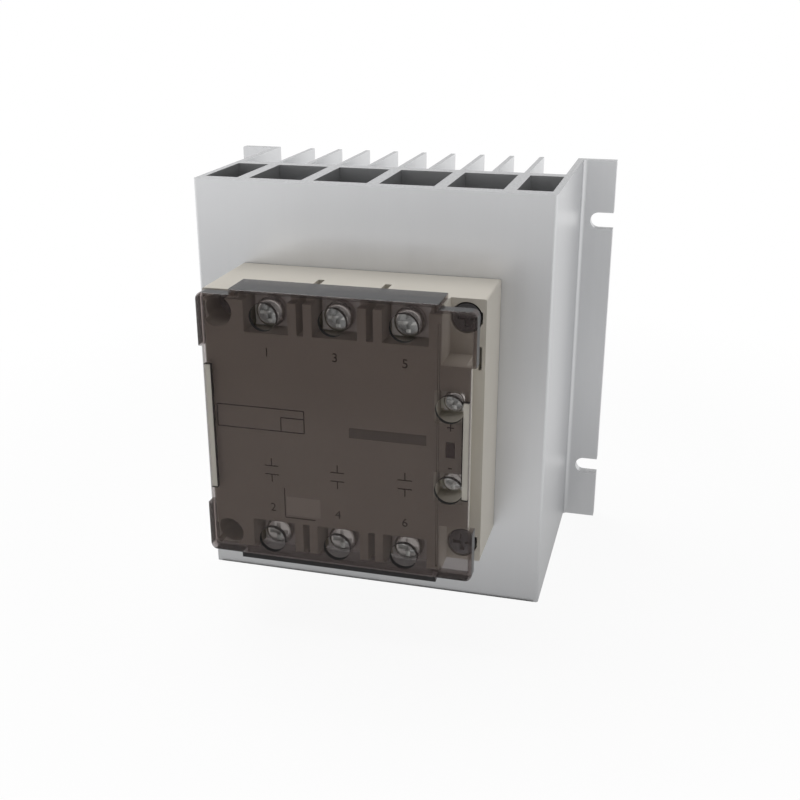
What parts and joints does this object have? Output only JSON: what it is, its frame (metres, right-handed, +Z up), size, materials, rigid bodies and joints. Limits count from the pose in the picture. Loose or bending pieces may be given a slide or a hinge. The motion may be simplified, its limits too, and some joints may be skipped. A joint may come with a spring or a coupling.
{
  "type": "solid state relay",
  "caption": "Solid state relay: a square plastic module with screw terminals under a smoked lift-off cover, on a finned aluminium heat sink with slotted flanges.",
  "frame": {"origin": "centre of the four flange slots, on the rear plane that lies on the panel", "axes": "+X to the right seen from the front, +Y into the panel, +Z up along the extrusion"},
  "size_m": [0.132, 0.106, 0.13],
  "materials": {
    "aluminium": "satin",
    "housing_plastic": "matte",
    "smoked_plastic": "gloss",
    "thermal_sheet": "matte",
    "alumina": "matte",
    "silicon": "satin",
    "tinned_copper": "satin",
    "plated_steel": "satin",
    "dark_steel": "satin",
    "board_laminate": "satin",
    "black_plastic": "matte",
    "varistor_coating": "satin",
    "capacitor_case": "satin",
    "resistor_coating": "satin",
    "led_lens": "gloss",
    "indicator_window": "gloss"
  },
  "bodies": {
    "relay": {"base_plate": "aluminium", "ceramic_substrate_1": "alumina", "ceramic_substrate_2": "alumina", "ceramic_substrate_3": "alumina", "circuit_board": "board_laminate", "gate_leads": "tinned_copper", "heat_sink": "aluminium", "housing": "housing_plastic", "indicator_led": "led_lens", "indicator_lens": "indicator_window", "input_driver": "black_plastic", "input_terminal_minus": "tinned_copper", "input_terminal_nuts": "plated_steel", "input_terminal_plus": "tinned_copper", "line_busbar_1": "tinned_copper", "line_busbar_2": "tinned_copper", "line_busbar_3": "tinned_copper", "load_busbar_1": "tinned_copper", "load_busbar_2": "tinned_copper", "load_busbar_3": "tinned_copper", "main_terminal_nuts": "plated_steel", "mounting_screws": "dark_steel", "mounting_washers": "dark_steel", "photocoupler_1": "black_plastic", "photocoupler_2": "black_plastic", "photocoupler_3": "black_plastic", "snubber_capacitor_1": "capacitor_case", "snubber_capacitor_2": "capacitor_case", "snubber_capacitor_3": "capacitor_case", "snubber_resistor_1": "resistor_coating", "snubber_resistor_2": "resistor_coating", "snubber_resistor_3": "resistor_coating", "thermal_pad": "thermal_sheet", "thyristor_1": "silicon", "thyristor_2": "silicon", "thyristor_3": "silicon", "thyristor_4": "silicon", "thyristor_5": "silicon", "thyristor_6": "silicon", "varistor_1": "varistor_coating", "varistor_2": "varistor_coating", "varistor_3": "varistor_coating"},
    "terminal_cover": {"terminal_cover": "smoked_plastic"},
    "line_washer_1": {"line_washer_1": "plated_steel"},
    "line_screw_1": {"line_screw_1": "plated_steel"},
    "line_washer_2": {"line_washer_2": "plated_steel"},
    "line_screw_2": {"line_screw_2": "plated_steel"},
    "line_washer_3": {"line_washer_3": "plated_steel"},
    "line_screw_3": {"line_screw_3": "plated_steel"},
    "load_washer_1": {"load_washer_1": "plated_steel"},
    "load_screw_1": {"load_screw_1": "plated_steel"},
    "load_washer_2": {"load_washer_2": "plated_steel"},
    "load_screw_2": {"load_screw_2": "plated_steel"},
    "load_washer_3": {"load_washer_3": "plated_steel"},
    "load_screw_3": {"load_screw_3": "plated_steel"},
    "input_washer_plus": {"input_washer_plus": "plated_steel"},
    "input_screw_plus": {"input_screw_plus": "plated_steel"},
    "input_washer_minus": {"input_washer_minus": "plated_steel"},
    "input_screw_minus": {"input_screw_minus": "plated_steel"}
  },
  "joints": [
    {"name": "cover_lift_off", "type": "slide", "parent": "relay", "child": "terminal_cover", "axis": [0, -1, 0], "range_m": [0, 0.04]},
    {"name": "line_washer_1_lift", "type": "slide", "parent": "relay", "child": "line_washer_1", "axis": [0, -1, 0], "range_m": [0, 0.0025]},
    {"name": "line_screw_1_turn", "type": "hinge", "parent": "line_washer_1", "child": "line_screw_1", "pos_m": [-0.02, -0.098, 0.0342], "axis": [0, -1, 0], "range_deg": [0, 1125]},
    {"name": "line_washer_2_lift", "type": "slide", "parent": "relay", "child": "line_washer_2", "axis": [0, -1, 0], "range_m": [0, 0.0025]},
    {"name": "line_screw_2_turn", "type": "hinge", "parent": "line_washer_2", "child": "line_screw_2", "pos_m": [0, -0.098, 0.0342], "axis": [0, -1, 0], "range_deg": [0, 1125]},
    {"name": "line_washer_3_lift", "type": "slide", "parent": "relay", "child": "line_washer_3", "axis": [0, -1, 0], "range_m": [0, 0.0025]},
    {"name": "line_screw_3_turn", "type": "hinge", "parent": "line_washer_3", "child": "line_screw_3", "pos_m": [0.02, -0.098, 0.0342], "axis": [0, -1, 0], "range_deg": [0, 1125]},
    {"name": "load_washer_1_lift", "type": "slide", "parent": "relay", "child": "load_washer_1", "axis": [0, -1, 0], "range_m": [0, 0.0025]},
    {"name": "load_screw_1_turn", "type": "hinge", "parent": "load_washer_1", "child": "load_screw_1", "pos_m": [-0.02, -0.098, -0.0342], "axis": [0, -1, 0], "range_deg": [0, 1125]},
    {"name": "load_washer_2_lift", "type": "slide", "parent": "relay", "child": "load_washer_2", "axis": [0, -1, 0], "range_m": [0, 0.0025]},
    {"name": "load_screw_2_turn", "type": "hinge", "parent": "load_washer_2", "child": "load_screw_2", "pos_m": [0, -0.098, -0.0342], "axis": [0, -1, 0], "range_deg": [0, 1125]},
    {"name": "load_washer_3_lift", "type": "slide", "parent": "relay", "child": "load_washer_3", "axis": [0, -1, 0], "range_m": [0, 0.0025]},
    {"name": "load_screw_3_turn", "type": "hinge", "parent": "load_washer_3", "child": "load_screw_3", "pos_m": [0.02, -0.098, -0.0342], "axis": [0, -1, 0], "range_deg": [0, 1125]},
    {"name": "input_washer_plus_lift", "type": "slide", "parent": "relay", "child": "input_washer_plus", "axis": [0, -1, 0], "range_m": [0, 0.002]},
    {"name": "input_screw_plus_turn", "type": "hinge", "parent": "input_washer_plus", "child": "input_screw_plus", "pos_m": [0.0329, -0.098, 0.0121], "axis": [0, -1, 0], "range_deg": [0, 1200]},
    {"name": "input_washer_minus_lift", "type": "slide", "parent": "relay", "child": "input_washer_minus", "axis": [0, -1, 0], "range_m": [0, 0.002]},
    {"name": "input_screw_minus_turn", "type": "hinge", "parent": "input_washer_minus", "child": "input_screw_minus", "pos_m": [0.0329, -0.098, -0.0121], "axis": [0, -1, 0], "range_deg": [0, 1200]}
  ],
  "couplings": [
    {"joint": "line_screw_1_turn", "follows": "line_washer_1_lift", "rad_per_m": 7854},
    {"joint": "line_screw_2_turn", "follows": "line_washer_2_lift", "rad_per_m": 7854},
    {"joint": "line_screw_3_turn", "follows": "line_washer_3_lift", "rad_per_m": 7854},
    {"joint": "load_screw_1_turn", "follows": "load_washer_1_lift", "rad_per_m": 7854},
    {"joint": "load_screw_2_turn", "follows": "load_washer_2_lift", "rad_per_m": 7854},
    {"joint": "load_screw_3_turn", "follows": "load_washer_3_lift", "rad_per_m": 7854},
    {"joint": "input_screw_plus_turn", "follows": "input_washer_plus_lift", "rad_per_m": 10472},
    {"joint": "input_screw_minus_turn", "follows": "input_washer_minus_lift", "rad_per_m": 10472}
  ]
}
